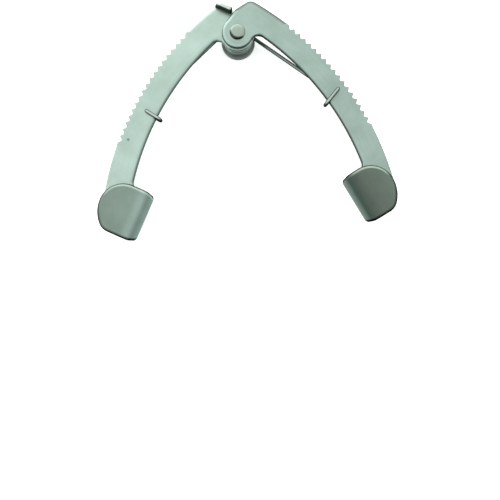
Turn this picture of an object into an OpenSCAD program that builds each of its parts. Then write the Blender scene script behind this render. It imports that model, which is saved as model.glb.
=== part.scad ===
// Self-retaining cheek retractor: two toothed sheet-metal arms on one rivet, pushed apart
// by a torsion spring, each ending in a folded blade that holds the cheek.
// Millimetres. The origin is on the hinge axis, at the back face of the rivet's tail. +Z is the
// front of the instrument, +X the side of the right arm, and the blades lie at -Y.

/* [Arms] */
// Thickness of the sheet that arms and blades are pressed from
sheet_t = 2; // [1.6:0.1:2.2]
// Radius of the inner edge of each arm
arm_r = 112.3; // [111.8:0.1:112.8]
// Width of the right arm, from the inner edge to the tooth tips
right_arm_w = 9.9; // [9.4:0.1:10.4]
// Width of the left arm
left_arm_w = 10.6; // [10:0.1:11]
// Sideways distance from the hinge to the centre of an arm's curve
arm_cx = 61; // [60.5:0.1:61.5]
// Distance below the hinge of the centre of an arm's curve
arm_cy = 89.5; // [89:0.1:90]
// Running gap between the two arms
arm_gap = 0.1; // [0.05:0.05:0.3]

/* [Teeth] */
// Number of notches along the outer edge of each arm
notches = 18; // [6:1:18]
// Angle of the notch nearest the hinge, about the centre of the arm's curve
notch_first = 47.38; // [46:0.01:47.5]
// Angle from one notch to the next
notch_step = 1.358; // [1.3:0.002:1.37]
// Flat land left on each tooth tip
tooth_land = 0.25; // [0.1:0.05:0.6]
// Radius at the bottom of each notch
notch_r = 0.5; // [0.3:0.05:0.7]

/* [Hinge] */
// Radius of the right (front) arm's eye
eye_front_r = 6.3; // [5.8:0.1:6.5]
// Radius of the left (rear) arm's eye
eye_rear_r = 6.7; // [6.3:0.1:7]
// Radius of the fillet between an eye and its arm
notch_fillet = 3.2; // [1.5:0.1:3.4]
// Diameter of the rivet's shank
rivet_d = 4; // [3:0.1:4.4]
// Radial clearance of the rivet in the parts it passes through
rivet_play = 0.05; // [0.02:0.01:0.1]
// Radius of the rivet's low front head
rivet_head_r = 3.1; // [2.8:0.1:3.6]
// Height of the front head
rivet_head_h = 0.9; // [0.6:0.1:1.3]
// Radius of the rear washer
washer_r = 7; // [6:0.1:7.2]
// Thickness of the rear washer
washer_t = 0.9; // [0.6:0.1:1.2]
// Height of the stop lug in front of the left arm
lug_h = 2.7; // [2.2:0.1:3.2]
// Length of the stop lug
lug_len = 7.75; // [6.5:0.05:7.75]

/* [Blades] */
// Height of a blade along its fold
blade_h = 20.7; // [19.5:0.1:21]
// Reach of the right blade, from the outside of the fold to its free end
right_blade_w = 16.8; // [16:0.1:17.4]
// Reach of the left blade
left_blade_w = 18.6; // [17.5:0.1:19]
// Depth of a blade over both plates
blade_d = 8.8; // [8:0.1:9.5]
// Sideways distance from the hinge to the top of the right fold
right_fold_x = 36.45; // [36.15:0.05:36.75]
// Distance below the hinge of the top of the right fold
right_fold_y = 62.3; // [62.1:0.05:62.5]
// Sideways distance from the hinge to the top of the left fold
left_fold_x = 37.25; // [36.95:0.05:37.55]
// Distance below the hinge of the top of the left fold
left_fold_y = 63.1; // [62.9:0.05:63.3]
// Angle of the fold from the instrument's centre line
fold_tilt = 27.6; // [27:0.1:28.2]

/* [Spring] */
// Diameter of the spring wire
wire_d = 1.4; // [1.1:0.05:1.5]
// Mean radius of the coil
coil_r = 5.3; // [5:0.1:5.4]
// Advance of the coil in one turn
coil_pitch = 1.8; // [1.75:0.05:1.9]
// Whole turns of the coil, besides the part turn between its legs
coil_turns = 2; // [1:1:3]

/* [Hidden] */
$fn = 64;

LEFT_STEEL = [0.74, 0.83, 0.78];
RIGHT_STEEL = [0.66, 0.75, 0.70];
PIN_STEEL = [0.70, 0.78, 0.72];
SPRING_STEEL = [0.55, 0.60, 0.56];

eps = 0.01;

// Curve centre of the right arm and outer edges of both; the left arm is drawn as a right one
// and mirrored
curve = [-arm_cx, -arm_cy];
right_outer = arm_r + right_arm_w;
left_outer = arm_r + left_arm_w;

// Blade frame: u runs down the fold from its top, v from the fold towards the free end
u_dir = [sin(fold_tilt), -cos(fold_tilt)];
v_dir = [cos(fold_tilt), sin(fold_tilt)];
right_fold = [right_fold_x, -right_fold_y];
left_fold = [left_fold_x, -left_fold_y];
bend_ro = blade_d / 2;
bend_ri = bend_ro - sheet_t;
// Upper and lower ends of the bend and of the back plate
bend_u0 = 0.5;
bend_u1 = blade_h - 0.2;
back_u0 = bend_u0 - 0.1;
back_u1 = bend_u1 + 0.1;
// Where the flat plates start, just past the end of the bend
plate_v = bend_ro + 0.5;
// Front plate: upper corner, crowned free end and lower corner are arcs that meet smoothly
top_r = 9.9;
crown_r = 13;
low_r = 5.5;
low_u = blade_h - low_r;
low_back = crown_r - sqrt(pow(crown_r - low_r, 2) - pow(low_u - top_r, 2));
crown_a = acos((low_u - top_r) / (crown_r - low_r));
// Back plate: a round heel inside the line of the arm's outer edge, and a flare at its top
heel_r = 9.5;
flare_r = 2.2;

// Head of the arm: the end edge runs from the hinge-side corner up to the outer edge
end_low = [-0.36, 9.13];
end_tilt = 28.6;
end_corner_r = 3.5;

// Spring: feet of the hooks, where each leg turns back towards its arm's inner edge
wire_r = wire_d / 2;
right_foot = [37.6, -26.7];
left_foot = [-40.8, -27.1];
// Angle about the curve's centre at which the wire passes round the inner edge
right_hook_a = 31.9;
left_hook_a = 31.2;
right_edge = curve + arm_r * [cos(right_hook_a), sin(right_hook_a)];
left_edge = [-curve[0] - arm_r * cos(left_hook_a), curve[1] + arm_r * sin(left_hook_a)];
right_tip = [38.9, -25.3];
left_tip = [-39.4, -28.15];
// Bend of the wire at a foot, and at the place where a leg leaves the level of the coil
foot_bend_r = 1.8;
leg_bend_r = 12;
leg_level = 5.5;
// Distance from the wire's centre to the arm's middle plane, where it hooks round the edge
hook_gap = 0.03;
hook_r = sheet_t / 2 + wire_r + hook_gap;
// Where round the coil its legs begin, the right one at the back, and the turn between them
leg_right_a = atan2(right_foot[1], right_foot[0]) + acos(coil_r / norm(right_foot));
leg_left_a = atan2(left_foot[1], left_foot[0]) - acos(coil_r / norm(left_foot)) + 360;
coil_sweep = 360 * coil_turns + leg_left_a - leg_right_a;
// Part of the turn left open at each end of the coil, where its leg begins
coil_end_a = 0.6;

// Levels, from the rivet's tail at the back to its head at the front
tail_h = 0.7;
tail_r = 3.3;
tail_edge = 0.3;
seat_gap = 0.03;
coil_gap = 0.1;
washer_z0 = tail_h + seat_gap;
washer_z1 = washer_z0 + washer_t;
coil_back_z = washer_z1 + coil_gap + wire_r;
coil_front_z = coil_back_z + coil_pitch * coil_sweep / 360;
left_z0 = coil_front_z + wire_r + coil_gap;
left_z1 = left_z0 + sheet_t;
right_z0 = left_z1 + arm_gap;
right_z1 = right_z0 + sheet_t;
head_z = right_z1 + seat_gap;

// ---- Helpers ----
function unit(v) = v / norm(v);
function arc(c, r, a0, a1, n) =
    [for (i = [0:n]) c + r * [cos(a0 + (a1 - a0) * i / n), sin(a0 + (a1 - a0) * i / n)]];
function angle_of(v) = atan2(v[1], v[0]);
function uv(fold, u, v) = fold + u * u_dir + v * v_dir;

// Where the line from p along dir meets the circle of radius r about the curve's centre
function slide(p, dir, r) =
    let (w = p - curve, k = w * dir)
    p + (sqrt(k * k - w * w + r * r) - k) * dir;

// Where circles (a, ra) and (b, rb) cross, on the right-hand side of the line from a to b
function circles_meet(a, ra, b, rb) =
    let (d = norm(b - a), k = (ra * ra - rb * rb + d * d) / (2 * d), e = unit(b - a))
    a + k * e + sqrt(ra * ra - k * k) * [e[1], -e[0]];

// ---- Outline of an arm, drawn for the right one ----
// Centre of the fillet between the eye and the inner edge
function notch_centre(eye_r) =
    circles_meet(curve, arm_r - notch_fillet, [0, 0], eye_r + notch_fillet);

// Rounded corner between the end edge and the outer edge
end_dir = [cos(end_tilt), sin(end_tilt)];
end_norm = [sin(end_tilt), -cos(end_tilt)];
function corner_centre(outer_r) =
    slide(end_low + end_corner_r * end_norm, end_dir, outer_r - end_corner_r);

function arm_points(eye_r, fold, outer_r) =
    let (n_c = notch_centre(eye_r),
         corner_c = corner_centre(outer_r),
         reach = norm(end_low),
         tangent_a = angle_of(end_low) + acos(eye_r / reach),
         flare_c = slide(uv(fold, back_u0 - flare_r, 0), v_dir, arm_r - flare_r),
         heel = slide(uv(fold, back_u1 - heel_r, 0), v_dir, outer_r - heel_r),
         heel_a = angle_of(heel - curve))
    concat(
        arc(curve, outer_r, heel_a, angle_of(corner_c - curve), 60),
        arc(corner_c, end_corner_r, angle_of(corner_c - curve), end_tilt + 90, 10),
        [end_low],
        arc([0, 0], eye_r, tangent_a, 360 + angle_of(n_c), 48),
        arc(n_c, notch_fillet, angle_of(-n_c), angle_of(n_c - curve), 12),
        arc(curve, arm_r, angle_of(n_c - curve), angle_of(flare_c - curve), 60),
        arc(flare_c, flare_r, angle_of(flare_c - curve), angle_of(u_dir), 10),
        [uv(fold, back_u0, plate_v), uv(fold, back_u1, plate_v)],
        arc(heel, heel_r, angle_of(u_dir), heel_a, 36));

// One notch, with its mouth on the outer edge: x along the edge, y outwards
module notch(outer_r) {
    half = (outer_r * notch_step * PI / 180 - tooth_land) / 2;
    floor_y = -half + notch_r * sqrt(2);
    polygon(concat([[half + 1, 1]], [[-half - 1, 1]],
        arc([0, floor_y], notch_r, 225, 315, 8)));
}

module arm_outline(eye_r, fold, outer_r) {
    difference() {
        polygon(arm_points(eye_r, fold, outer_r));
        for (i = [0:notches - 1])
            translate(curve)
                rotate(notch_first - i * notch_step - 90)
                    translate([0, outer_r])
                        notch(outer_r);
    }
}

// Front plate of the blade, from the bend to its free end
module front_plate_outline(fold, reach) {
    polygon([for (p = concat(
            [[blade_h, plate_v]],
            arc([low_u, reach - low_back], low_r, 0, crown_a, 8),
            arc([top_r, reach - crown_r], crown_r, crown_a, 90, 8),
            arc([top_r, reach - top_r], top_r, 90, 180, 20),
            [[0, plate_v]]))
        uv(fold, p[0], p[1])]);
}

// Cross-section of the fold: x from the outside of the bend, y up from the back of the arm
module fold_profile() {
    stub = 1.5;
    intersection() {
        translate([bend_ro, bend_ro])
            difference() {
                circle(bend_ro);
                circle(bend_ri);
            }
        square([bend_ro, blade_d]);
    }
    for (y = [0, blade_d - sheet_t])
        translate([bend_ro, y])
            square([stub, sheet_t]);
}

// Half round bend that joins the two plates; z0 is the back of the arm
module bend(z0, fold) {
    start = uv(fold, bend_u0, 0);
    translate([start[0], start[1], z0])
        rotate([90, 0, fold_tilt])
            linear_extrude(bend_u1 - bend_u0)
                fold_profile();
}

module arm_body(z0, eye_r, fold, reach, outer_r) {
    translate([0, 0, z0])
        linear_extrude(sheet_t)
            arm_outline(eye_r, fold, outer_r);
    bend(z0, fold);
    translate([0, 0, z0 + blade_d - sheet_t])
        linear_extrude(sheet_t)
            front_plate_outline(fold, reach);
}

module rivet_hole() {
    cylinder(h = 2 * right_z1, r = rivet_d / 2 + rivet_play);
}

// ---- Sub-parts ----
// Strip along the end edge, bent forward; the right arm's shoulder stops against it
module stop_lug() {
    corner_c = corner_centre(left_outer);
    start = corner_c - end_corner_r * end_norm - (lug_len - end_corner_r) * end_dir;
    translate([0, 0, left_z1 - eps])
        linear_extrude(lug_h + eps)
            intersection() {
                polygon(arm_points(eye_rear_r, left_fold, left_outer));
                translate(start)
                    rotate(end_tilt)
                        translate([0, -sheet_t])
                            square([lug_len + end_corner_r, 2 * sheet_t]);
            }
}

module left_arm() {
    color(LEFT_STEEL)
        mirror([1, 0, 0])
            difference() {
                union() {
                    arm_body(left_z0, eye_rear_r, left_fold, left_blade_w, left_outer);
                    stop_lug();
                }
                rivet_hole();
            }
}

module right_arm() {
    color(RIGHT_STEEL)
        difference() {
            arm_body(right_z0, eye_front_r, right_fold, right_blade_w, right_outer);
            rivet_hole();
        }
}

// Low domed head in front, shank through the whole stack, and a flat peened tail
module hinge_rivet() {
    dome_r = (rivet_head_r * rivet_head_r + rivet_head_h * rivet_head_h) / (2 * rivet_head_h);
    half_a = asin(rivet_head_r / dome_r);
    color(PIN_STEEL)
        rotate_extrude()
            polygon(concat(
                [[0, 0], [tail_r - tail_edge, 0], [tail_r, tail_edge], [tail_r, tail_h]],
                [[rivet_d / 2, tail_h]],
                [[rivet_d / 2, head_z]],
                [[rivet_head_r, head_z]],
                arc([0, head_z + rivet_head_h - dome_r], dome_r, 90 - half_a, 90, 12)));
}

// Tube round the shank that keeps the coil free when the rivet is closed
module spring_sleeve() {
    coil_play = 0.5;
    sleeve_ri = rivet_d / 2 + rivet_play;
    sleeve_ro = coil_r - wire_r - coil_play;
    color(PIN_STEEL)
        rotate_extrude()
            translate([sleeve_ri, washer_z1 + seat_gap])
                square([sleeve_ro - sleeve_ri, left_z0 - washer_z1 - 2 * seat_gap]);
}

module rear_washer() {
    edge = 0.2;
    ri = rivet_d / 2 + rivet_play;
    color(RIGHT_STEEL)
        rotate_extrude()
            polygon([[ri, washer_z0], [washer_r - edge, washer_z0],
                [washer_r, washer_z0 + edge], [washer_r, washer_z1 - edge],
                [washer_r - edge, washer_z1], [ri, washer_z1]]);
}

// ---- Wire ----
// Unit tangents of a path, and normals carried along it without twist
function tangents(p) =
    [for (i = [0:len(p) - 1]) unit(p[min(i + 1, len(p) - 1)] - p[max(i - 1, 0)])];
function across(n, t) = unit(n - (n * t) * t);
function normals(t) =
    [for (i = 0, n = across([0, 0, 1], t[0]); i < len(t);
        i = i + 1, n = across(n, t[min(i, len(t) - 1)])) n];

module wire(p) {
    sides = 12;
    t = tangents(p);
    n = normals(t);
    rings = len(p);
    points = [for (i = [0:rings - 1], k = [0:sides - 1])
        p[i] + wire_r * (cos(360 * k / sides) * n[i]
            + sin(360 * k / sides) * cross(t[i], n[i]))];
    walls = [for (i = [0:rings - 2], k = [0:sides - 1])
        let (a = i * sides, b = a + sides, m = (k + 1) % sides)
        [a + k, b + k, b + m, a + m]];
    caps = [[for (k = [0:sides - 1]) k],
        [for (k = [sides - 1:-1:0]) (rings - 1) * sides + k]];
    polyhedron(points, concat(walls, caps), convexity = 6);
}

// Points along a corner of radius r at b, between a and c
function rounded(a, b, c, r, n) =
    let (p = unit(a - b), q = unit(c - b), half = acos(p * q) / 2, m = unit(p + q),
         o = b + m * r / sin(half), turn = 90 - half, side = unit(p - (p * m) * m))
    [for (i = [0:n]) let (s = turn * (1 - 2 * i / n))
        o + r * (-cos(s) * m + sin(s) * side)];

// Leg of the spring: leaves the coil at angle a and height z, runs behind the arm to its foot,
// turns back to the arm's inner edge, and hooks round it onto the front face
function leg_path(a, z, foot, edge, tip, arm_z) =
    let (start = coil_r * [cos(a), sin(a)],
         run = unit(foot - start),
         out = start + run * leg_level,
         back_z = arm_z - hook_r,
         bar = unit(tip - edge),
         foot3 = [foot[0], foot[1], back_z],
         edge3 = [edge[0], edge[1], back_z],
         out3 = [out[0], out[1], z])
    concat(
        [[start[0], start[1], z]],
        rounded([start[0], start[1], z], out3, foot3, leg_bend_r, 4),
        rounded(out3, foot3, edge3, foot_bend_r, 8),
        [for (s = [0:15:180]) let (d = edge - bar * hook_r * sin(s))
            [d[0], d[1], arm_z - hook_r * cos(s)]],
        [[tip[0], tip[1], arm_z + hook_r]]);

module spring_coil() {
    steps = ceil(coil_sweep / 10);
    color(SPRING_STEEL)
        wire([for (i = [0:steps])
            let (a = leg_right_a + coil_end_a + (coil_sweep - 2 * coil_end_a) * i / steps)
            [coil_r * cos(a), coil_r * sin(a),
                coil_back_z + (coil_front_z - coil_back_z) * i / steps]]);
}

module spring_left_leg() {
    color(SPRING_STEEL)
        wire(leg_path(leg_left_a, coil_front_z, left_foot, left_edge, left_tip,
            (left_z0 + left_z1) / 2));
}

module spring_right_leg() {
    color(SPRING_STEEL)
        wire(leg_path(leg_right_a, coil_back_z, right_foot, right_edge, right_tip,
            (right_z0 + right_z1) / 2));
}

left_arm();
right_arm();
hinge_rivet();
spring_sleeve();
rear_washer();
spring_coil();
spring_left_leg();
spring_right_leg();
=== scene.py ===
"""Satin steel cheek retractor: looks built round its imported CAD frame.

Lengths in the shape code are millimetres in the CAD frame; meshes are written in metres.
Both arms are drawn as one flat sheet-metal blank, edges rounded, then folded into a blade.
"""
from math import acos, atan2, cos, hypot, pi, radians, sin, sqrt

import bmesh
import bpy
import numpy as np
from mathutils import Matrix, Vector


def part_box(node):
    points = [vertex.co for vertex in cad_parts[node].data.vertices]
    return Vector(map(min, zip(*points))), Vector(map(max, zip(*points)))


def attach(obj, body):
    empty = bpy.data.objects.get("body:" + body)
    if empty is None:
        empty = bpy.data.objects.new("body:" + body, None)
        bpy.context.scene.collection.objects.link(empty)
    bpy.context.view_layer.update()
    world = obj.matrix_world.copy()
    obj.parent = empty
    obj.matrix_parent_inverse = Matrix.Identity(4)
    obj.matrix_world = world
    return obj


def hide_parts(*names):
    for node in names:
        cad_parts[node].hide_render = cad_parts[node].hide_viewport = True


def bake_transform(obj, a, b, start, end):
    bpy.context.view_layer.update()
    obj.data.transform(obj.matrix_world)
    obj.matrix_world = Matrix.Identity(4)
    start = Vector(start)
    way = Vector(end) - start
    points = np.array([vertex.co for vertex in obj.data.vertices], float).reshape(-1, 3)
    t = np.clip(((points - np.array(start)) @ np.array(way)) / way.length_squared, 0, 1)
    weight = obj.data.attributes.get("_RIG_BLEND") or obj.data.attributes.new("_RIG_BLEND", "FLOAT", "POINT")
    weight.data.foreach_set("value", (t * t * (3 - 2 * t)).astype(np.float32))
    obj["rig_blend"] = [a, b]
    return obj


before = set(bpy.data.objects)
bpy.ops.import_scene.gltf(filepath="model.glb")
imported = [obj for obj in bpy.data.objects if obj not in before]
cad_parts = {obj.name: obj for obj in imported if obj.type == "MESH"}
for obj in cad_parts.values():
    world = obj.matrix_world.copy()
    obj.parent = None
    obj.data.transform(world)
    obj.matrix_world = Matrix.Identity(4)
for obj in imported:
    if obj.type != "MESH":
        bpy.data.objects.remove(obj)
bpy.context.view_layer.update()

MM = 0.001

# ---- Levels, from the frame ----
right_lo, right_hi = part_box("right_arm")
head_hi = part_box("hinge_rivet")[1].z / MM
tail_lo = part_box("hinge_rivet")[0].z / MM
washer_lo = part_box("rear_washer")[0].z / MM
washer_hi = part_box("rear_washer")[1].z / MM
coil_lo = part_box("spring_coil")[0].z / MM
coil_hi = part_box("spring_coil")[1].z / MM
RIGHT_Z = right_lo.z / MM
LEFT_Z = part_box("left_arm")[0].z / MM
BLADE_D = (right_hi.z - right_lo.z) / MM

# ---- Sheet metal: the same driving sizes as the CAD source ----
SHEET = 2.0
CURVE = (-61.0, -89.5)
INNER_R = 112.3
RIGHT_OUTER = 122.2
LEFT_OUTER = 122.9
NOTCHES = 18
NOTCH_FIRST = radians(47.38)
NOTCH_STEP = radians(1.358)
TOOTH_LAND = 0.25
VALLEY_R = 0.5
# Middle point of a notch's straight flank, as a share of its half width
FLANK_POINT = 0.62
EYE_FRONT_R = 6.3
EYE_REAR_R = 6.7
EYE_FILLET = 3.2
BORE_R = 2.05
END_LOW = (-0.36, 9.13)
END_TILT = radians(28.6)
END_CORNER_R = 3.5
# Each blade: the top of its fold, and its reach from there to the free end
RIGHT_BLADE = ((36.45, -62.3), 16.8)
LEFT_BLADE = ((37.25, -63.1), 18.6)
FOLD_TILT = radians(27.6)
U_DIR = (sin(FOLD_TILT), -cos(FOLD_TILT))
V_DIR = (cos(FOLD_TILT), sin(FOLD_TILT))
BEND_R = BLADE_D / 2
BEND_LENGTH = pi * (BEND_R - SHEET / 2)
BLADE_H = 20.7
BACK_U0 = 0.4
BACK_U1 = 20.6
TOP_R = 9.9
CROWN_R = 13.0
LOW_R = 5.5
FOLD_CORNER = 0.9
HEEL_R = 9.5
FLARE_R = 2.2
LUG_HEIGHT = 2.7
LUG_LENGTH = 7.75
# Rounding of the lug's two ends in height, and how far past the corner's centre it reaches
LUG_FAR = 2.9
LUG_FAR_R = 2.5
LUG_NEAR_R = 1.1
LUG_ROOT = 0.6

# Rounding of each kind of edge: how far in it starts, and how far down it reaches
EDGE = (0.7, 0.7)
RIGHT_INNER_EDGE = (1.3, 0.7)
LEFT_INNER_EDGE = (1.8, 0.8)
END_EDGE = (1.6, 0.6)
EYE_EDGE = (1.4, 0.7)
PLATE_EDGE = (1.4, 0.95)
LUG_EDGE = (0.7, 0.7)
TOOTH_EDGE = (0.3, 0.24)
BORE_EDGE = (0.15, 0.15)
# Angles past the outermost notches at which the outer edge's own rounding starts, and
# between which the teeth's rounding goes on
OUTER_GAP = 0.012
END_GAP = 0.016
LAND_GAP = (0.001, 0.008)
# How far the painted shade, a dark line, of a cut edge spreads over its rounding; 1 is about a third of it
RIGHT_EDGE_SHADE = {"outer": 0.8, "teeth": 1.6, "inner": 0.9, "end": 1.65, "eye": 0.6}
LEFT_EDGE_SHADE = {"outer": 0.2, "teeth": 0.8, "inner": 0.85, "end": 0.2, "eye": 0.9}
PLATE_EDGE_SHADE_U = (0.0, 6.0, 11.0, 15.0, 20.7)
PLATE_EDGE_SHADE = (0.9, 0.9, 1.1, 1.6, 1.65)
# Steps of a rounding, least divisor of a mitred corner, closest that two outline points may
# lie, and cuts across the bend with their snap
EDGE_STEPS = 5
MITRE_FLOOR = 0.6
SAME_POINT = 1e-5
BEND_CUTS = 24
CUT_SNAP = 1e-3
FOLD_LIMIT = BACK_U0 - FLARE_R - 2
SHARP_ANGLE = radians(35)

# ---- Turned parts ----
RIVET_R = 2.0
TAIL_R = 3.3
TAIL_ROUND = 0.35
# Shallow dish in the peened tail: its depth, and the radii of its floor and rim
TAIL_DISH = 0.12
DISH_R = 1.9
DISH_RIM_R = 2.4
HEAD_R = 3.1
# Rounding of the head: how far in and down a full quarter would reach, and how far it turns
HEAD_ROUND = (1.15, 0.72)
HEAD_TURN = radians(80)
# Rise of the crown inside that rounding, and the radii where it bends
HEAD_CROWN = 0.06
HEAD_CROWN_R = (1.4, 0.6)
WASHER_R = 7.0
WASHER_ROUND = 0.3
SEAT_GAP = 0.03

# ---- Spring wire ----
WIRE_R = 0.7
COIL_R = 5.3
COIL_TURNS = 2
COIL_STEPS = 160
WIRE_SIDES = 20
TIP_STEPS = 6
TIP_MIN_R = 0.02
HOOK_GAP = 0.03
FOOT_BEND_R = 1.8
LEG_BEND_R = 12.0
LEG_LEVEL = 5.5
# Foot of each leg, angle at which it rounds the arm's inner edge, and tip
RIGHT_HOOK = ((37.6, -26.7), radians(31.9), (38.9, -25.3))
LEFT_HOOK = ((-40.8, -27.1), radians(31.2), (-39.4, -28.15))


# ---- Plane geometry ----
def add(p, q, k=1.0):
    return (p[0] + k * q[0], p[1] + k * q[1])


def polar(c, r, a):
    return (c[0] + r * cos(a), c[1] + r * sin(a))


def angle_of(p, q=(0.0, 0.0)):
    return atan2(p[1] - q[1], p[0] - q[0])


def arc(c, r, a0, a1, n):
    """Arc about c in n segments."""
    return [polar(c, r, a0 + (a1 - a0) * i / n) for i in range(n + 1)]


def on_blade(blade, u, w):
    """Point of the flat blank: u runs down the fold, w away from it on the arm's side."""
    return add(add(blade[0], U_DIR, u), V_DIR, w)


def along_line(start, direction, centre, r):
    """Where the ray from start along direction leaves the circle (centre, r)."""
    w = add(start, centre, -1)
    k = w[0] * direction[0] + w[1] * direction[1]
    t = sqrt(k * k - w[0] ** 2 - w[1] ** 2 + r * r) - k
    return add(start, direction, t)


def eye_fillet_centre(eye_r):
    """Centre of the fillet between the eye and the inner edge."""
    ra, rb = INNER_R - EYE_FILLET, eye_r + EYE_FILLET
    d = hypot(*CURVE)
    k = (ra * ra - rb * rb + d * d) / (2 * d)
    e = (-CURVE[0] / d, -CURVE[1] / d)
    h = sqrt(ra * ra - k * k)
    return (CURVE[0] + k * e[0] + h * e[1], CURVE[1] + k * e[1] - h * e[0])


def notch_points(a, outer_r):
    """One notch of the outer edge, met by a walk towards the hinge."""
    half = (outer_r * NOTCH_STEP - TOOTH_LAND) / 2
    valley_y = -half + VALLEY_R * sqrt(2)
    across = [(half, 0.0), (half * FLANK_POINT, half * (FLANK_POINT - 1))]
    valley = arc((0.0, valley_y), VALLEY_R, radians(315), radians(225), 4)
    local = across + valley + [(-x, y) for x, y in reversed(across)]
    radial = (cos(a), sin(a))
    tangent = (sin(a), -cos(a))
    base = polar(CURVE, outer_r, a)
    return [add(add(base, tangent, x), radial, y) for x, y in local]


def tagged(points, edge, edge_shade):
    """Outline points with the rounding of their edge and how far its painted shade spreads."""
    return [(x, y, edge, edge_shade) for x, y in points]


def front_plate_points(reach):
    """Front plate as (u, v, edge shade), from the top of the fold round the free end to its bottom."""
    low_u = BLADE_H - LOW_R
    crown = acos((low_u - TOP_R) / (CROWN_R - LOW_R))
    low_back = CROWN_R - (CROWN_R - LOW_R) * sin(crown)
    points = arc((TOP_R, reach - TOP_R), TOP_R, pi, pi / 2, 20)
    points += arc((TOP_R, reach - CROWN_R), CROWN_R, pi / 2, crown, 10)[1:]
    points += arc((low_u, reach - low_back), LOW_R, crown, 0, 12)[1:]
    return [(u, v, float(np.interp(u, PLATE_EDGE_SHADE_U, PLATE_EDGE_SHADE))) for u, v in points]


def bend_edge(blade, u_back, u_front, inward):
    """Edge of the blank across the bend, from the arm's side to the front plate."""
    points = []
    for i in range(BEND_CUTS + 1):
        k = i / BEND_CUTS
        u = u_back + (u_front - u_back) * k + inward * FOLD_CORNER * sin(pi * k) ** 6
        points.append(on_blade(blade, u, BEND_R - BEND_LENGTH * k))
    return points


def corner_centre(outer_r):
    """Centre of the round corner between the end edge and the outer edge."""
    start = add(END_LOW, (sin(END_TILT), -cos(END_TILT)), END_CORNER_R)
    return along_line(start, (cos(END_TILT), sin(END_TILT)), CURVE, outer_r - END_CORNER_R)


def blank_outline(eye_r, blade, outer_r, inner_edge, edge_shade):
    """Outline of the unfolded right-hand blank, anticlockwise; edge_shade, the painted shade of the edges,
    is by name of the edge.
    """
    heel = along_line(on_blade(blade, BACK_U1 - HEEL_R, 0), V_DIR, CURVE, outer_r - HEEL_R)
    heel_a = angle_of(heel, CURVE)
    corner = corner_centre(outer_r)
    fillet = eye_fillet_centre(eye_r)
    flare = along_line(on_blade(blade, BACK_U0 - FLARE_R, 0), V_DIR, CURVE, INNER_R - FLARE_R)
    u_angle = angle_of(U_DIR)
    half_notch = (NOTCH_STEP - TOOTH_LAND / outer_r) / 2
    teeth_low = NOTCH_FIRST - (NOTCHES - 1) * NOTCH_STEP - half_notch
    teeth_high = NOTCH_FIRST + half_notch
    tangent_a = angle_of(END_LOW) + acos(eye_r / hypot(*END_LOW))
    close, far = LAND_GAP
    outer, teeth, inner = edge_shade["outer"], edge_shade["teeth"], edge_shade["inner"]
    end, eye = edge_shade["end"], edge_shade["eye"]
    outline = tagged(arc(CURVE, outer_r, heel_a, teeth_low - OUTER_GAP, 24), EDGE, outer)
    outline += tagged(arc(CURVE, outer_r, teeth_low - far, teeth_low - close, 2), TOOTH_EDGE,
                      teeth)
    for i in reversed(range(NOTCHES)):
        outline += tagged(notch_points(NOTCH_FIRST - i * NOTCH_STEP, outer_r), TOOTH_EDGE,
                          teeth)
    outline += tagged(arc(CURVE, outer_r, teeth_high + close, teeth_high + far, 2), TOOTH_EDGE,
                      teeth)
    outline += tagged(arc(CURVE, outer_r, teeth_high + END_GAP, angle_of(corner, CURVE), 20),
                      END_EDGE, end)
    outline += tagged(arc(corner, END_CORNER_R, angle_of(corner, CURVE),
                          END_TILT + pi / 2, 12)[1:], END_EDGE, end)
    outline += tagged([END_LOW], END_EDGE, end)
    outline += tagged(arc((0, 0), eye_r, tangent_a, 2 * pi + angle_of(fillet), 64), EYE_EDGE, eye)
    outline += tagged(arc(fillet, EYE_FILLET, angle_of((0, 0), fillet),
                          angle_of(fillet, CURVE), 14)[1:], inner_edge, inner)
    outline += tagged(arc(CURVE, INNER_R, angle_of(fillet, CURVE),
                          angle_of(flare, CURVE), 90)[1:], inner_edge, inner)
    outline += tagged(arc(flare, FLARE_R, angle_of(flare, CURVE), u_angle, 14)[1:],
                      EDGE, inner)
    outline += tagged(bend_edge(blade, BACK_U0, 0, 1), PLATE_EDGE, PLATE_EDGE_SHADE[0])
    unrolled = 2 * BEND_R - BEND_LENGTH
    outline += [(*on_blade(blade, u, unrolled - v), PLATE_EDGE, dark)
                for u, v, dark in front_plate_points(blade[1])]
    outline += tagged(reversed(bend_edge(blade, BACK_U1, BLADE_H, -1)), PLATE_EDGE,
                      PLATE_EDGE_SHADE[-1])
    outline += tagged(arc(heel, HEEL_R, u_angle, heel_a, 40)[:-1], EDGE, outer)
    return outline


def lug_span():
    """Ends of the lug along the end edge, from END_LOW: its free end, and the corner's."""
    to_corner = add(corner_centre(LEFT_OUTER), END_LOW, -1)
    x_corner = to_corner[0] * cos(END_TILT) + to_corner[1] * sin(END_TILT)
    x_end = x_corner + END_CORNER_R - LUG_LENGTH
    return x_end, x_corner


def lug_outline():
    """Stop lug seen through its thickness: (along the end edge, height from its root)."""
    x_end, x_corner = lug_span()
    far = x_corner + LUG_FAR
    top = LUG_HEIGHT + LUG_ROOT
    points = [(x_end, 0.0), (far, 0.0)]
    points += arc((far - LUG_FAR_R, top - LUG_FAR_R), LUG_FAR_R, 0, pi / 2, 12)
    points += arc((x_end + LUG_NEAR_R, top - LUG_NEAR_R), LUG_NEAR_R, pi / 2, pi, 8)
    return tagged(points, LUG_EDGE, 0.0)


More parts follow.
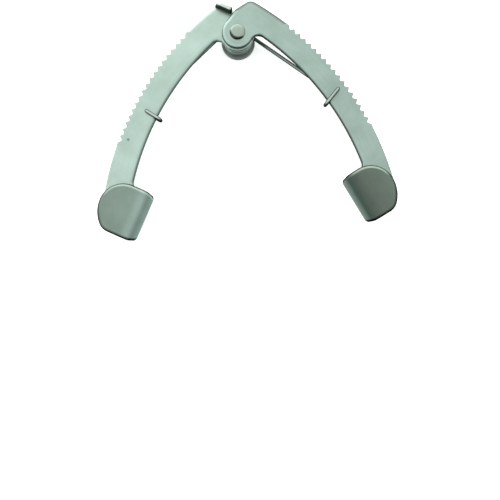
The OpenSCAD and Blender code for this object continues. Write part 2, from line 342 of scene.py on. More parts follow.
def stand_lug(bm, root_z):
    """Stands the lug on the end edge; its outer face follows the blank's round corner."""
    shade = bm.verts.layers.float_vector["shade"]
    x_dir = (cos(END_TILT), sin(END_TILT))
    y_dir = (-sin(END_TILT), cos(END_TILT))
    x_corner = lug_span()[1]
    for v in bm.verts:
        x, height, depth = v.co
        past = min(max(x - x_corner, 0), LUG_FAR)
        level = sqrt(END_CORNER_R ** 2 - past ** 2)
        share = 1 - depth / SHEET
        y = -SHEET + share * (SHEET - END_CORNER_R + level)
        n_out = -v[shade].z
        n_along = v[shade].x + max(n_out, 0) * share * past / level
        px, py = add(add(END_LOW, x_dir, x), y_dir, y)
        v.co = (px, py, root_z + height)
        v[shade] = (n_along * x_dir[0] + n_out * y_dir[0],
                    n_along * x_dir[1] + n_out * y_dir[1], v[shade].y)


def blade_place(blade, point):
    """(u, w) of a point of the flat blank."""
    rel = (point[0] - blade[0][0], point[1] - blade[0][1])
    return (rel[0] * U_DIR[0] + rel[1] * U_DIR[1], rel[0] * V_DIR[0] + rel[1] * V_DIR[1])


def fold(blade, point, normal):
    """Carries a point of the blank and its normal round the bend; adds how far it went."""
    z = point[2]
    u, w = blade_place(blade, point)
    s = BEND_R - w
    if s <= 0 or u < FOLD_LIMIT:
        return point, normal, 0.0
    turn = min(s / BEND_LENGTH, 1) * pi
    beyond = max(s - BEND_LENGTH, 0)
    rho = BEND_R - z
    v = BEND_R - rho * sin(turn) + beyond
    height = BEND_R - rho * cos(turn)
    nu = normal[0] * U_DIR[0] + normal[1] * U_DIR[1]
    nw = normal[0] * V_DIR[0] + normal[1] * V_DIR[1]
    nv = nw * cos(turn) + normal[2] * sin(turn)
    nz = normal[2] * cos(turn) - nw * sin(turn)
    px, py = on_blade(blade, u, v)
    along = turn / pi + beyond / (blade[1] - BEND_R)
    return ((px, py, height),
            (nu * U_DIR[0] + nv * V_DIR[0], nu * U_DIR[1] + nv * V_DIR[1], nz), along)


# ---- Mesh tools ----
def outward(loop):
    """Mitred normals of a closed loop, pointing to the right of the way it is walked."""
    points = np.array([p[:2] for p in loop])
    ahead = np.roll(points, -1, axis=0) - points
    side = np.stack([ahead[:, 1], -ahead[:, 0]], 1)
    side /= np.linalg.norm(side, axis=1)[:, None]
    total = side + np.roll(side, 1, axis=0)
    return total / np.maximum((total * side).sum(1), MITRE_FLOOR)[:, None]


def without_repeats(loop):
    """The loop without points that lie on the one before."""
    return [p for i, p in enumerate(loop)
            if hypot(p[0] - loop[i - 1][0], p[1] - loop[i - 1][1]) > SAME_POINT]


def add_sheet(bm, loops, low, high):
    """Fills flat loops between two levels with rounded edges: material left of each loop."""
    shade = bm.verts.layers.float_vector["shade"]
    rim = bm.verts.layers.float["rim"]
    edge_shade = bm.verts.layers.float["edge_shade"]
    quarter = [pi / 2 * i / EDGE_STEPS for i in range(EDGE_STEPS + 1)]
    rows = [(low, -1, a) for a in quarter] + [(high, 1, a) for a in reversed(quarter)]
    cap_edges = ([], [])
    for loop in map(without_repeats, loops):
        count = len(loop)
        rings = []
        for level, facing, a in rows:
            ring = []
            for (x, y, (r_in, r_down), dark), (nx, ny) in zip(loop, outward(loop)):
                inset = r_in * (1 - sin(a))
                v = bm.verts.new((x - nx * inset, y - ny * inset,
                                  level - facing * r_down * (1 - cos(a))))
                side, up = r_down * sin(a), r_in * cos(a)
                k = side / hypot(side, up) / hypot(nx, ny)
                v[shade] = (nx * k, ny * k, facing * up / hypot(side, up))
                v[rim] = sin(a)
                v[edge_shade] = dark
                ring.append(v)
            rings.append(ring)
        for lower, upper in zip(rings, rings[1:]):
            for i in range(count):
                j = (i + 1) % count
                bm.faces.new((lower[i], lower[j], upper[j], upper[i]))
        for edges, ring in zip(cap_edges, (rings[0], rings[-1])):
            edges += [bm.edges.get((ring[i - 1], ring[i])) for i in range(count)]
    for edges in cap_edges:
        bmesh.ops.triangle_fill(bm, edges=edges, use_beauty=True)
    bmesh.ops.recalc_face_normals(bm, faces=bm.faces)


def new_sheet_bmesh():
    """Mesh that stores normals, how far a rounding has turned, its painted edge shade, and the course."""
    bm = bmesh.new()
    bm.verts.layers.float_vector.new("shade")
    bm.verts.layers.float.new("rim")
    bm.verts.layers.float.new("edge_shade")
    bm.verts.layers.float.new("course")
    return bm


def fold_blade(bm, blade):
    """Cuts the flat blank along the bend and folds it; course runs 0-1 round, 1-2 along."""
    shade = bm.verts.layers.float_vector["shade"]
    course = bm.verts.layers.float["course"]
    for k in range(BEND_CUTS + 1):
        x, y = on_blade(blade, 0, BEND_R - BEND_LENGTH * k / BEND_CUTS)
        faces = [f for f in bm.faces
                 if any(blade_place(blade, v.co)[0] > FOLD_LIMIT for v in f.verts)]
        edges = {e for f in faces for e in f.edges}
        verts = {v for f in faces for v in f.verts}
        bmesh.ops.bisect_plane(bm, geom=faces + list(edges) + list(verts), dist=CUT_SNAP,
                               plane_co=(x, y, 0), plane_no=(V_DIR[0], V_DIR[1], 0))
    for v in bm.verts:
        point, normal, along = fold(blade, v.co, v[shade])
        v.co = point
        v[shade] = normal
        v[course] = along


def settle(name, bm, lift=0.0, mirrored=False):
    """Turns a millimetre bmesh into a metre object with its stored normals."""
    shade = bm.verts.layers.float_vector["shade"]
    for v in bm.verts:
        flip = -1 if mirrored else 1
        v.co = (flip * v.co.x * MM, v.co.y * MM, (v.co.z + lift) * MM)
        v[shade] = (flip * v[shade].x, v[shade].y, v[shade].z)
    if mirrored:
        bmesh.ops.reverse_faces(bm, faces=bm.faces)
    for f in bm.faces:
        f.smooth = True
    mesh = bpy.data.meshes.new(name)
    bm.to_mesh(mesh)
    bm.free()
    normals = np.zeros(len(mesh.vertices) * 3, np.float32)
    mesh.attributes["shade"].data.foreach_get("vector", normals)
    normals = normals.reshape(-1, 3)
    normals /= np.linalg.norm(normals, axis=1)[:, None]
    mesh.normals_split_custom_set_from_vertices(normals)
    mesh.attributes.remove(mesh.attributes["shade"])
    return link(name, mesh)


def link(name, data):
    """New object in the scene for a mesh, a light or a camera."""
    obj = bpy.data.objects.new(name, data)
    bpy.context.scene.collection.objects.link(obj)
    return obj


def place(obj, body, slot_name, material, *nodes):
    """Gives a piece its material and its body, and hides the CAD nodes that it stands for."""
    obj.data.materials.append(material)
    if body:
        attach(obj, body)
    if nodes:
        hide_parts(*nodes)
    return obj


def lathe(name, profile, sides=96):
    """Closed turned part from (radius, height) points; points on the axis become poles."""
    bm = bmesh.new()
    rings = []
    for r, z in profile:
        if r == 0:
            rings.append([bm.verts.new((0, 0, z * MM))] * sides)
        else:
            rings.append([bm.verts.new((r * MM * cos(2 * pi * i / sides),
                                        r * MM * sin(2 * pi * i / sides), z * MM))
                          for i in range(sides)])
    closed = profile[0][0] > 0
    pairs = zip(rings, rings[1:] + rings[:1]) if closed else zip(rings, rings[1:])
    for a, b in pairs:
        for i in range(sides):
            j = (i + 1) % sides
            corners = []
            for v in (a[i], a[j], b[j], b[i]):
                if v not in corners:
                    corners.append(v)
            bm.faces.new(corners)
    bmesh.ops.recalc_face_normals(bm, faces=bm.faces)
    for f in bm.faces:
        f.smooth = True
    mesh = bpy.data.meshes.new(name)
    bm.to_mesh(mesh)
    bm.free()
    mesh.set_sharp_from_angle(angle=SHARP_ANGLE)
    return link(name, mesh)


def round_corner(cr, cz, r, a0, a1, n=6):
    """Quarter round of a lathe profile about (cr, cz), from angle a0 to a1 in degrees."""
    return arc((cr, cz), r, radians(a0), radians(a1), n)


def tube(name, path, round_tip=False):
    """Round wire along a path of points, with a flat or a round far end."""
    points = [Vector(p) for p in path]
    radii = [WIRE_R] * len(points)
    if round_tip:
        run = (points[-1] - points[-2]).normalized()
        last = points.pop()
        radii.pop()
        for i in range(TIP_STEPS + 1):
            a = pi / 2 * i / TIP_STEPS
            points.append(last - run * WIRE_R * (1 - sin(a)))
            radii.append(max(WIRE_R * cos(a), TIP_MIN_R))
    count = len(points)
    tangents = [(points[min(i + 1, count - 1)] - points[max(i - 1, 0)]).normalized()
                for i in range(count)]
    normal = Vector((0, 0, 1))
    bm = bmesh.new()
    rings = []
    for p, t, r in zip(points, tangents, radii):
        normal = (normal - normal.dot(t) * t).normalized()
        across = t.cross(normal)
        rings.append([bm.verts.new((p + r * (cos(2 * pi * k / WIRE_SIDES) * normal
                                             + sin(2 * pi * k / WIRE_SIDES) * across)) * MM)
                      for k in range(WIRE_SIDES)])
    for a, b in zip(rings, rings[1:]):
        for k in range(WIRE_SIDES):
            m = (k + 1) % WIRE_SIDES
            bm.faces.new((a[k], a[m], b[m], b[k]))
    bm.faces.new(rings[0])
    bm.faces.new(rings[-1])
    bmesh.ops.recalc_face_normals(bm, faces=bm.faces)
    for f in bm.faces:
        f.smooth = True
    mesh = bpy.data.meshes.new(name)
    bm.to_mesh(mesh)
    bm.free()
    mesh.set_sharp_from_angle(angle=SHARP_ANGLE)
    return link(name, mesh)


# ---- Spring paths, as in the CAD source ----
def rounded(a, b, c, r, n):
    """Corner of radius r at b, between a and c, as n + 1 points."""
    p, q = (a - b).normalized(), (c - b).normalized()
    half = acos(p.dot(q)) / 2
    m = (p + q).normalized()
    side = (p - p.dot(m) * m).normalized()
    centre = b + m * r / sin(half)
    turn = pi / 2 - half
    return [centre + r * (sin(turn * (1 - 2 * i / n)) * side - cos(turn * (1 - 2 * i / n)) * m)
            for i in range(n + 1)]


def leg_path(a, z, hook, arm_z):
    """Leg of the spring: leaves the coil, runs to its foot, and hooks round the arm."""
    side = 1 if hook[0][0] > 0 else -1
    inner = polar(CURVE, INNER_R, hook[1])
    foot, edge, tip = (Vector((*p, 0)) for p in (hook[0], (side * inner[0], inner[1]), hook[2]))
    hook_r = SHEET / 2 + WIRE_R + HOOK_GAP
    back = Vector((0, 0, arm_z - hook_r))
    start = Vector((COIL_R * cos(a), COIL_R * sin(a), 0))
    out = start + (foot - start).normalized() * LEG_LEVEL
    level = Vector((0, 0, z))
    bar = (tip - edge).normalized()
    path = [start + level]
    path += rounded(start + level, out + level, foot + back, LEG_BEND_R, 8)
    path += rounded(out + level, foot + back, edge + back, FOOT_BEND_R, 16)
    path += [edge - bar * hook_r * sin(s) + Vector((0, 0, arm_z - hook_r * cos(s)))
             for s in np.linspace(0, pi, 25)]
    return path + [tip + Vector((0, 0, arm_z + hook_r))]


leg_right_a = angle_of(RIGHT_HOOK[0]) + acos(COIL_R / hypot(*RIGHT_HOOK[0]))
leg_left_a = angle_of(LEFT_HOOK[0]) - acos(COIL_R / hypot(*LEFT_HOOK[0])) + 2 * pi
coil_front_z = coil_hi - WIRE_R
coil_back_z = coil_lo + WIRE_R
coil_sweep = COIL_TURNS * 2 * pi + leg_left_a - leg_right_a
coil_path = []
for k in np.linspace(0, 1, COIL_STEPS + 1):
    a = leg_right_a + coil_sweep * k
    coil_path.append((COIL_R * cos(a), COIL_R * sin(a),
                      coil_back_z + (coil_front_z - coil_back_z) * k))


# ---- Tones of the steel ----
def srgb(r, g, b):
    """Linear colour of an 8-bit display colour."""
    def linear(c):
        c /= 255
        return c / 12.92 if c <= 0.04045 else ((c + 0.055) / 1.055) ** 2.4
    return (linear(r), linear(g), linear(b), 1.0)


# Arm tones: the same steel, painted lighter on the left arm and darker on the right arm for how the light
# falls on each
LEFT_TONE = srgb(188, 211, 200)
RIGHT_TONE = srgb(168, 190, 180)
WASHER_TONE = srgb(162, 168, 164)
# Lug tone: the left arm's steel painted brighter, a painted highlight on the lug's lit end face
LUG_TONE = srgb(222, 236, 227)
RIVET_TONE = srgb(166, 183, 170)
LEG_TONE = srgb(196, 210, 202)
# Coil tone: the spring wire painted darker, painted shade where the coil lies between the eye and the washer
COIL_TONE = srgb(176, 192, 183)
# Tones of the folded blades, with painted light and shade in bands round the bend and painted shade
# on the front plates: 0 is the arm, 0.5 the end of the bend, 1 the plate's free end
LEFT_COURSE = [(0.0, LEFT_TONE), (0.2, LEFT_TONE), (0.27, srgb(172, 190, 184)),
               (0.34, srgb(174, 194, 187)), (0.39, srgb(148, 172, 162)),
               (0.45, srgb(160, 184, 174)), (0.5, srgb(149, 170, 160)),
               (0.56, srgb(138, 157, 146)), (1.0, srgb(132, 148, 138))]
RIGHT_COURSE = [(0.0, RIGHT_TONE), (0.2, RIGHT_TONE), (0.27, srgb(162, 178, 170)),
                (0.33, srgb(150, 165, 158)), (0.385, srgb(80, 98, 89)),
                (0.43, srgb(78, 94, 85)), (0.5, srgb(95, 105, 97)),
                (0.6, srgb(106, 118, 108)), (1.0, srgb(118, 133, 122))]
# Each arm: its tones, where along its course the rim's painted highlight starts, its strength on
# the front plate and round the eye, and the light left by painted shade on the eye's cut edge
LEFT_LOOK = {"course": LEFT_COURSE, "plate_from": (0.45, 0.55), "plate_shine": 1.5,
             "eye_shine": 1.0, "eye_wall": 0.8}
RIGHT_LOOK = {"course": RIGHT_COURSE, "plate_from": (0.75, 1.0), "plate_shine": 2.3,
              "eye_shine": 1.2, "eye_wall": 0.4}
# Light left by the painted shade on the front plates' cut edges, and where along the course it takes over
PLATE_WALL = 0.13
PLATE_WALL_FROM = (0.2, 0.5)
# Part of a rounding that gets the painted highlight, 1 being the cut face, and the edge shades whose rim
# gets it
RIM_HIGHLIGHT_BAND = [(0.04, 0.0), (0.2, 1.0), (0.62, 1.0), (0.85, 0.0)]
UPPER_RIM = [(0.92, 1.0), (1.0, 0.0)]
# What counts as near the hinge, for the eye's painted highlight and shade, by distance from its axis, 1
# being NEAR_SPAN
NEAR_SPAN = 20
NEAR_HINGE = [(0.41, 1.0), (0.43, 0.0)]
# Painted shade on a rounding: share of it that an edge shade of 1 covers, and the length of its fade
EDGE_SHADE_COVER = 0.6
EDGE_SHADE_FADE = 0.7
EDGE_SHADE_LEAST = 0.001
# Painted shade on small round parts: light left by how far they turn away from the eye
WIRE_LIMB = [(0.06, 1.0), (0.34, 0.14)]
COIL_LIMB = [(0.2, 1.0), (0.9, 0.75)]
# Painted shade on the rivet's head and on the lug: light left by how far they face a direction
HEAD_SIDE = ((-0.5, -0.866, 0.0), [(0.3, 0.75), (0.45, 1.0), (0.55, 1.0), (0.65, 0.14)])
LUG_SIDE = ((0.0, 0.0, 1.0), [(0.55, 0.16), (0.84, 0.24), (0.95, 1.0)])
# Painted shade on the right leg, darker towards the hinge: its tone by distance from the hinge, 1 being
# LEG_SPAN
LEG_SPAN = 50
LEG_RUN = [(0.0, 0.24), (0.4, 0.4), (0.75, 0.7), (0.85, 1.0)]
# Small pit in the left arm's face, its tone by distance, 1 being PIT_SPAN
PIT_SPAN = 2
PIT_SHADE = [(0.1, 0.45), (0.45, 1.0)]
PIT_AT = (-47.2, -39.4, LEFT_Z + SHEET)
# Textures in waves per metre: brushed lines across and along, mottling and grit
BRUSH_ACROSS = 2600
BRUSH_ALONG = 90
MOTTLE_WAVES = 90
GRIT_WAVES = 1500
MOTTLE_DARK = (0.90, 0.91, 0.90, 1.0)
MOTTLE_LIGHT = (1.07, 1.07, 1.08, 1.0)
MOTTLE_STOPS = [(0.35, 0.0), (0.65, 1.0)]
GRIT_STOPS = [(0.3, 0.97), (0.7, 1.0)]
STREAK_DEPTH = 0.07
ROUGH_CHANGE = 0.14
LINE_HEIGHT = 0.6
GRIT_HEIGHT = 0.4
BUMP_STRENGTH = 0.12
BUMP_DEPTH = 0.06 * MM


# ---- Materials ----
class Tree:
    """Short hand for building a node tree."""
    def __init__(self, owner):
        owner.use_nodes = True
        self.tree = owner.node_tree
        self.tree.nodes.clear()

    def add(self, kind, sockets, **settings):
        n = self.tree.nodes.new("ShaderNode" + kind)
        for key, value in settings.items():
            setattr(n, key, value)
        for key, value in sockets.items():
            if isinstance(value, bpy.types.NodeSocket):
                self.tree.links.new(value, n.inputs[key])
            else:
                n.inputs[key].default_value = value
        return n

    def math(self, operation, a, b=0.0, clamp=False):
        return self.add("Math", {0: a, 1: b}, operation=operation, use_clamp=clamp).outputs[0]

    def times(self, product, *factors):
        for factor in factors:
            product = self.math("MULTIPLY", product, factor)
        return product

    def halfway(self, value):
        """A value from -1 to 1 carried to 0 to 1."""
        return self.math("ADD", self.times(value, 0.5), 0.5)

    def vector(self, operation, a, b=(0.0, 0.0, 0.0)):
        return self.add("VectorMath", {0: a, 1: b}, operation=operation)

    def shift(self, a, b):
        return self.vector("SUBTRACT", a, b).outputs[0]

    def length(self, a):
        return self.vector("LENGTH", a).outputs["Value"]

    def scaled(self, colour, factor):
        return self.add("VectorMath", {0: colour, "Scale": factor}, operation="SCALE").outputs[0]

    def ramp(self, factor, stops):
        """Colour ramp; stops are (position, colour or grey)."""
        n = self.add("ValToRGB", {"Fac": factor})
        elements = n.color_ramp.elements
        while len(elements) < len(stops):
            elements.new(0.5)
        for element, (position, colour) in zip(elements, stops):
            element.position = position
            element.color = colour if isinstance(colour, tuple) else (colour,) * 3 + (1.0,)
        return n.outputs["Color"]

    def by_distance(self, distance, span, stops):
        """Ramp over a distance in metres, 1 being a span in millimetres."""
        return self.ramp(self.times(distance, 1 / (span * MM)), stops)

    def mix(self, factor, a, b, blend="MIX"):
        n = self.add("Mix", {0: factor, 6: a, 7: b}, data_type="RGBA", blend_type=blend)
        return n.outputs[2]

    def tinted(self, a, b):
        return self.mix(1.0, a, b, "MULTIPLY")

    def noise(self, vector, scale, detail=2.0, roughness=0.5):
        return self.add("TexNoise", {"Vector": vector, "Scale": scale, "Detail": detail,
                                     "Roughness": roughness}).outputs["Fac"]

    def attribute(self, name):
        return self.add("Attribute", {}, attribute_name=name).outputs["Fac"]

    def finish(self, shader, output="OutputMaterial"):
        self.add(output, {"Surface": shader})


def round_centre(t, centre):
    """Place in the object in metres, and its radius, turn and depth about a centre."""
    place_ = t.add("TexCoord", {}).outputs["Object"]
    moved = t.shift(place_, (centre[0] * MM, centre[1] * MM, 0))
    x, y, z = t.add("SeparateXYZ", {0: moved}).outputs
    radius = t.math("SQRT", t.math("ADD", t.times(x, x), t.times(y, y)))
    return place_, radius, t.math("ARCTAN2", y, x), z


def arm_tone(t, place_, rim, wall, look):
    """Tone of a folded arm with the painted highlight on its rim, and the light that painted shade takes
    from its cut edges.
    """
    course = t.attribute("course")
    flat = t.vector("MULTIPLY", place_, (1, 1, 0)).outputs[0]
    near = t.by_distance(t.length(flat), NEAR_SPAN, NEAR_HINGE)
    highlight_band = t.ramp(rim, RIM_HIGHLIGHT_BAND)
    on_plate = t.ramp(course, [(look["plate_from"][0], 0.0), (look["plate_from"][1], 1.0)])
    upper = t.ramp(t.attribute("edge_shade"), UPPER_RIM)
    plate_gain = t.times(highlight_band, on_plate, upper, look["plate_shine"] - 1)
    eye_gain = t.times(highlight_band, near, look["eye_shine"] - 1)
    gain = t.math("ADD", t.math("ADD", plate_gain, eye_gain), 1.0)
    tone = t.scaled(t.ramp(t.math("DIVIDE", course, 2.0), look["course"]), gain)
    lost = t.ramp(course, [(PLATE_WALL_FROM[0], 1 - wall), (PLATE_WALL_FROM[1], 1 - PLATE_WALL)])
    return tone, t.mix(near, lost, (1 - look["eye_wall"],) * 3 + (1.0,))


def satin_tone(t, base, place_, lines, grit, grain):
    """A base tone with mottling, brushed lines and fine grit on it."""
    mottle = t.noise(place_, MOTTLE_WAVES, detail=4.0, roughness=0.55)
    tone = t.mix(t.ramp(mottle, MOTTLE_STOPS), t.tinted(base, MOTTLE_DARK), t.tinted(base, MOTTLE_LIGHT))
    tone = t.tinted(tone, t.ramp(lines, [(0.3, 1 - STREAK_DEPTH * grain), (0.7, 1.0)]))
    return t.tinted(tone, t.ramp(grit, GRIT_STOPS))


def cut_edge_light(t, rim, lost):
    """Light left by the painted shade on a rounding, whose edge shade says how far its dark line spreads."""
    start = t.math("SUBTRACT", 1.0, t.times(t.attribute("edge_shade"), EDGE_SHADE_COVER))
    width = t.times(t.math("SUBTRACT", 1 + EDGE_SHADE_LEAST, start), EDGE_SHADE_FADE)
    spread = t.math("DIVIDE", t.math("SUBTRACT", rim, start), width, clamp=True)
    return t.math("SUBTRACT", 1.0, t.times(spread, lost))


def pit_tone(t, place_, grit):
    """Darkening of a small pit with a ragged edge."""
    away = t.length(t.shift(place_, [c * MM for c in PIT_AT]))
    ragged = t.times(away, t.math("ADD", grit, 0.5))
    return t.by_distance(ragged, PIT_SPAN, PIT_SHADE)


def steel(name, colour, centre=(0, 0), arc_length=0.117, grain=1.0, rough=0.3, wall=0.4,
          look=None, limb=None, side=None, run=None, pit=False):
    """Satin steel, brushed round a centre, with painted shade on its cut edges, which keep only a share wall
    of the light.

    look is for a folded arm, with its painted highlights and shade; limb, side and run paint shade on
    it by how far it turns from the eye, by how far it faces a direction, and by distance from the hinge.
    """
    material = bpy.data.materials.new(name)
    t = Tree(material)
    place_, radius, turn, depth = round_centre(t, centre)
    brush = t.add("CombineXYZ", {0: t.times(radius, BRUSH_ACROSS),
                                 1: t.times(turn, arc_length, BRUSH_ALONG),
                                 2: t.times(depth, BRUSH_ACROSS)}).outputs[0]
    lines = t.noise(brush, 1.0, detail=3.0, roughness=0.6)
    grit = t.noise(place_, GRIT_WAVES, detail=2.0, roughness=0.6)
    rim = t.attribute("rim")
    base, lost = arm_tone(t, place_, rim, wall, look) if look else (colour, 1 - wall)
    left = cut_edge_light(t, rim, lost)
    if limb:
        facing = t.add("LayerWeight", {"Blend": 0.5}).outputs["Facing"]
        left = t.times(left, t.ramp(facing, limb))
    if side:
        direction, stops = side
        normal = t.add("NewGeometry", {}).outputs["Normal"]
        lean = t.vector("DOT_PRODUCT", normal, direction).outputs["Value"]
        left = t.times(left, t.ramp(t.halfway(lean), stops))
    tone = t.scaled(satin_tone(t, base, place_, lines, grit, grain), left)
    if run:
        tone = t.tinted(tone, t.by_distance(t.length(place_), LEG_SPAN, run))
    if pit:
        tone = t.tinted(tone, pit_tone(t, place_, grit))
    rough_lines = t.math("ADD", t.times(lines, ROUGH_CHANGE), rough)
    height = t.math("ADD", t.times(lines, LINE_HEIGHT), t.times(grit, GRIT_HEIGHT))
    bump = t.add("Bump", {"Height": height, "Strength": BUMP_STRENGTH * grain,
                          "Distance": BUMP_DEPTH}).outputs[0]
    shader = t.add("BsdfPrincipled", {
        "Base Color": tone, "Metallic": 1.0, "Normal": bump,
        "Specular Tint": t.add("CombineXYZ", {0: left, 1: left, 2: left}).outputs[0],
        "Roughness": t.math("SUBTRACT", rough_lines, t.times(rim, ROUGH_CHANGE))})
    t.finish(shader.outputs[0])
    return material


left_steel = steel("left_arm_steel", LEFT_TONE, (-CURVE[0], CURVE[1]), wall=0.36, look=LEFT_LOOK,
                   pit=True)
right_steel = steel("right_arm_steel", RIGHT_TONE, CURVE, wall=0.24, look=RIGHT_LOOK)
lug_steel = steel("stop_lug_steel", LUG_TONE, wall=1.0, side=LUG_SIDE)
washer_steel = steel("washer_steel", WASHER_TONE, arc_length=0.006, rough=0.5)
rivet_steel = steel("rivet_steel", RIVET_TONE, arc_length=0.003, grain=0.4, rough=0.22,
                    side=HEAD_SIDE)
# Drawn wire's finish, with painted shade towards its limbs from WIRE_LIMB
DRAWN_WIRE_WITH_SHADE = {"arc_length": 0.004, "grain": 0.5, "rough": 0.14, "limb": WIRE_LIMB}
left_leg_steel = steel("spring_steel", LEG_TONE, **DRAWN_WIRE_WITH_SHADE)
right_leg_steel = steel("right_leg_steel", LEG_TONE, run=LEG_RUN, **DRAWN_WIRE_WITH_SHADE)
coil_steel = steel("coil_steel", COIL_TONE, arc_length=0.004, grain=0.5, rough=0.45,
                   limb=COIL_LIMB)

# ---- Arms ----
bore = tagged(arc((0, 0), BORE_R, 2 * pi, 0, 48)[:-1], BORE_EDGE, 0.0)


def folded_arm(name, outline, blade, level, mirrored=False):
    """Arm and blade from a flat outline, lying at a level."""
    blank = new_sheet_bmesh()
    add_sheet(blank, [outline, bore], 0, SHEET)
    fold_blade(blank, blade)
    return settle(name, blank, level, mirrored)


right_blank = blank_outline(EYE_FRONT_R, RIGHT_BLADE, RIGHT_OUTER, RIGHT_INNER_EDGE, RIGHT_EDGE_SHADE)
right_arm = folded_arm("right_arm_sheet", right_blank, RIGHT_BLADE, RIGHT_Z)
place(right_arm, "right_side", "right_arm_steel", right_steel, "right_arm")

left_blank = blank_outline(EYE_REAR_R, LEFT_BLADE, LEFT_OUTER, LEFT_INNER_EDGE, LEFT_EDGE_SHADE)
left_arm = folded_arm("left_arm_sheet", left_blank, LEFT_BLADE, LEFT_Z, mirrored=True)
place(left_arm, "left_side", "left_arm_steel", left_steel, "left_arm")

strip = new_sheet_bmesh()
add_sheet(strip, [lug_outline()], 0, SHEET)
stand_lug(strip, LEFT_Z + SHEET - LUG_ROOT)
lug = settle("stop_lug", strip, mirrored=True)
place(lug, "left_side", "left_arm_steel", lug_steel)

# ---- Rivet, washer and sleeve ----
head_lo = RIGHT_Z + SHEET + SEAT_GAP
tail_hi = washer_lo - SEAT_GAP
profile = [(0, tail_lo + TAIL_DISH), (DISH_R, tail_lo + TAIL_DISH), (DISH_RIM_R, tail_lo)]
profile += round_corner(TAIL_R - TAIL_ROUND, tail_lo + TAIL_ROUND, TAIL_ROUND, -90, 0)
profile += [(TAIL_R, tail_hi), (RIVET_R, tail_hi), (RIVET_R, head_lo), (HEAD_R, head_lo)]
profile += [(HEAD_R - HEAD_ROUND[0] * (1 - cos(a)),
             head_hi - HEAD_CROWN - HEAD_ROUND[1] * (1 - sin(a)))
            for a in np.linspace(0, HEAD_TURN, 9)]
profile += [(HEAD_CROWN_R[0], head_hi - HEAD_CROWN / 3), (HEAD_CROWN_R[1], head_hi),
            (0, head_hi)]
rivet = lathe("hinge_rivet_turned", profile)
place(rivet, "left_side", "rivet_steel", rivet_steel, "hinge_rivet")

ring = [(BORE_R, washer_lo)]
ring += round_corner(WASHER_R - WASHER_ROUND, washer_lo + WASHER_ROUND, WASHER_ROUND, -90, 0)
ring += round_corner(WASHER_R - WASHER_ROUND, washer_hi - WASHER_ROUND, WASHER_ROUND, 0, 90)
ring += [(BORE_R, washer_hi)]
washer = lathe("rear_washer_turned", ring, 128)
place(washer, "left_side", "rivet_steel", washer_steel, "rear_washer")

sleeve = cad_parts["spring_sleeve"]
sleeve.data.materials.clear()
sleeve.data.materials.append(rivet_steel)

# ---- Spring ----
coil = tube("spring_coil_wire", coil_path)
place(coil, None, "spring_steel", coil_steel, "spring_coil")
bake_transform(coil, "left_side", "right_side", start=(0, 0, (coil_front_z - WIRE_R) * MM),
         end=(0, 0, (coil_back_z + WIRE_R) * MM))
right_path = leg_path(leg_right_a, coil_back_z, RIGHT_HOOK, RIGHT_Z + SHEET / 2)
right_leg = tube("spring_right_leg_wire", right_path, round_tip=True)
place(right_leg, "right_side", "spring_steel", right_leg_steel, "spring_right_leg")
left_path = leg_path(leg_left_a, coil_front_z, LEFT_HOOK, LEFT_Z + SHEET / 2)
left_leg = tube("spring_left_leg_wire", left_path, round_tip=True)
place(left_leg, "left_side", "spring_steel", left_leg_steel, "spring_left_leg")

# ---- Studio ----
GROUND_HALF = 2.0
GROUND_TINTS = (srgb(250, 251, 250), srgb(254, 255, 254))
GROUND_WAVES = 30
GROUND_GLOW = 0.45
GROUND_MIRROR = 0.75
# Reflected brightness against half the direction's y plus a half
SKY = [(0.0, 0.08), (0.17, 0.12), (0.27, 0.92), (0.5, 1.0), (0.76, 1.0), (0.86, 1.9), (1.0, 2.2)]
# Least reflected brightness of the sky against the direction's z: only the low sky is dark
SKY_TOP = [(0.38, 0.0), (0.58, 0.62)]
# Loss of reflected brightness towards +X
SKY_SLOPE = 0.22
KEY_LIGHT = {"at": (-0.18, 0.45, 0.40), "size": 0.30, "watts": 3.0}
LIGHT_AIM = (0, -0.04, 0)
CAMERA_AT = (-1.107, -87.46)
CAMERA_HEIGHT = 180
CAMERA_ROLL = radians(-4.0)
SENSOR = 36
LENS = 32.4


def reflected_level(t, y):
    """Brightness that steel sees in a direction: low towards the foot of the picture."""
    return t.ramp(t.halfway(y), SKY)


def ground_material():
    """Pale ground: white to the eye, and a graded surround in the steel's reflections."""
    material = bpy.data.materials.new("pale_ground")
    t = Tree(material)
    seen = t.add("LightPath", {}).outputs["Is Glossy Ray"]
    mottle = t.noise(t.add("TexCoord", {}).outputs["Object"], GROUND_WAVES)
    tint = t.mix(mottle, *GROUND_TINTS)
    matte = t.add("BsdfDiffuse", {"Color": tint})
    glow = t.add("Emission", {"Color": tint, "Strength": GROUND_GLOW})
    pale = t.add("AddShader", {0: matte.outputs[0], 1: glow.outputs[0]})
    back = t.add("SeparateXYZ", {0: t.add("NewGeometry", {}).outputs["Incoming"]}).outputs[1]
    level = t.times(reflected_level(t, t.times(back, -1.0)), GROUND_MIRROR)
    mirrored = t.add("Emission", {"Color": srgb(240, 255, 247), "Strength": level})
    both = t.add("MixShader", {0: seen, 1: pale.outputs[0], 2: mirrored.outputs[0]})
    t.finish(both.outputs[0])
    return material


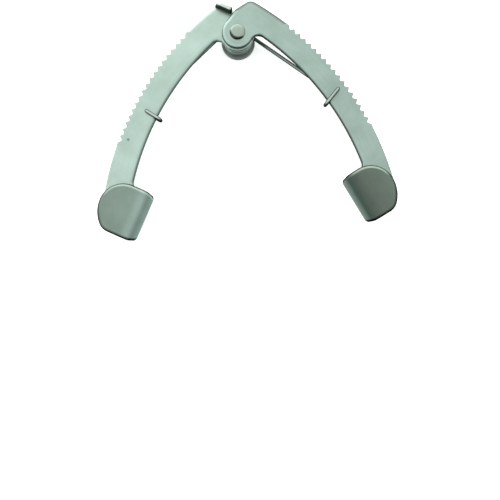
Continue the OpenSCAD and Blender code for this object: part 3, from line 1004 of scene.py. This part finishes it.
def build_ground(z):
    """Large square floor at a height in metres."""
    mesh = bpy.data.meshes.new("ground")
    corners = [(-GROUND_HALF, -GROUND_HALF, z), (GROUND_HALF, -GROUND_HALF, z),
               (GROUND_HALF, GROUND_HALF, z), (-GROUND_HALF, GROUND_HALF, z)]
    mesh.from_pydata(corners, [], [(0, 1, 2, 3)])
    mesh.materials.append(ground_material())
    return link("ground", mesh)


def build_world():
    """Even white sky, and a graded one in reflections, brighter to the left."""
    world = bpy.data.worlds.new("studio")
    bpy.context.scene.world = world
    t = Tree(world)
    x, y, z = t.add("SeparateXYZ", {0: t.add("TexCoord", {}).outputs["Generated"]}).outputs
    rise = t.math("MAXIMUM", reflected_level(t, y), t.ramp(z, SKY_TOP))
    glossy = t.times(rise, t.math("SUBTRACT", 1.0, t.times(x, SKY_SLOPE)))
    path = t.add("LightPath", {})
    sheen = t.add("Background", {"Color": (1.0, 1.0, 1.0, 1.0), "Strength": glossy})
    plain = t.add("Background", {"Color": srgb(248, 250, 249), "Strength": 1.0})
    both = t.add("MixShader", {0: path.outputs["Is Glossy Ray"], 1: plain.outputs[0],
                               2: sheen.outputs[0]})
    t.finish(both.outputs[0], "OutputWorld")


def soft_light(name, at, size, watts):
    """Round area light that the steel does not mirror."""
    data = bpy.data.lights.new(name, "AREA")
    data.shape = "DISK"
    data.size = size
    data.energy = watts
    obj = link(name, data)
    obj.location = at
    obj.rotation_euler = (Vector(LIGHT_AIM) - Vector(at)).to_track_quat("-Z", "Y").to_euler()
    obj.visible_glossy = False


def build_camera():
    """Camera straight above the arms, as the instrument lies, rolled by a few degrees."""
    data = bpy.data.cameras.new("camera")
    data.sensor_width = SENSOR
    data.lens = LENS
    data.clip_start = 0.01
    camera = link("camera", data)
    height = RIGHT_Z + SHEET + CAMERA_HEIGHT
    camera.location = (CAMERA_AT[0] * MM, CAMERA_AT[1] * MM, height * MM)
    camera.rotation_euler = (0, 0, CAMERA_ROLL)
    return camera


build_ground(tail_lo * MM)
build_world()
soft_light("key_top", **KEY_LIGHT)
bpy.context.scene.camera = build_camera()
bpy.context.scene.view_settings.view_transform = "Standard"
